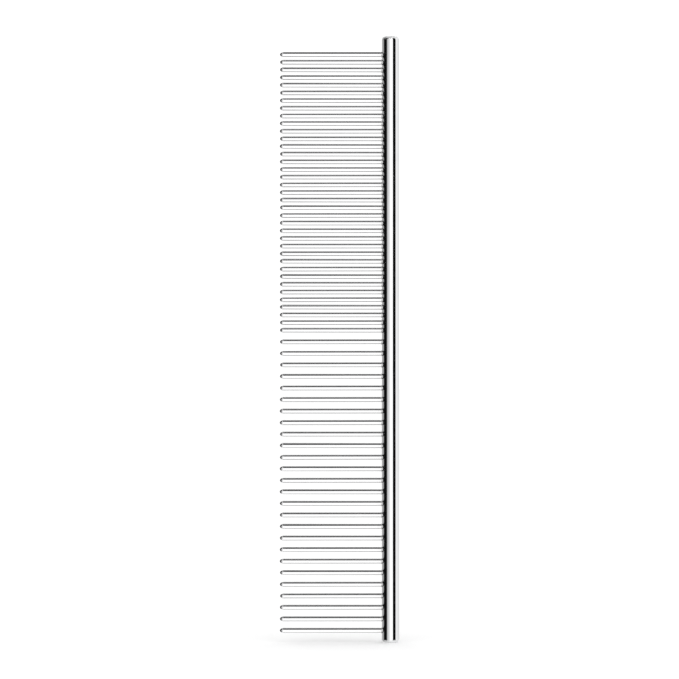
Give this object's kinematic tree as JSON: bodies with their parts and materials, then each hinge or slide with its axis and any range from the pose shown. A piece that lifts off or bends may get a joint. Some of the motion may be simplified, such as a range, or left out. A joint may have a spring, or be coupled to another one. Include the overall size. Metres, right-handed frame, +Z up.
{
  "type": "grooming comb",
  "caption": "Straight steel dematting comb: a round solid spine bar with one row of round-tipped wire pins, closely spaced in the upper half and widely spaced in the lower half.",
  "frame": {"origin": "centre of the flat on the spine's lower end, on the spine's axis", "axes": "+Z up along the spine's axis from the coarse bank to the fine bank, -X from the spine towards the pin tips, +Y through the comb's thickness"},
  "size_m": [0.0374, 0.0054, 0.19],
  "materials": {
    "spine_steel": "bright mirror-polished plating with faint lengthwise polishing lines and a few hairline scratches, satin on the end faces and the tops of their rims",
    "pin_steel": "bright polished wire with faint drawing lines, tips ground and tumbled smooth",
    "root_solder": "plated-over solder fillet with a few pits, slightly softer gloss than the spine"
  },
  "bodies": {
    "root": {"spine": "spine_steel", "fine_pins": "pin_steel", "coarse_pins": "pin_steel", "fine_pin_solder": "root_solder", "coarse_pin_solder": "root_solder"}
  },
  "joints": []
}
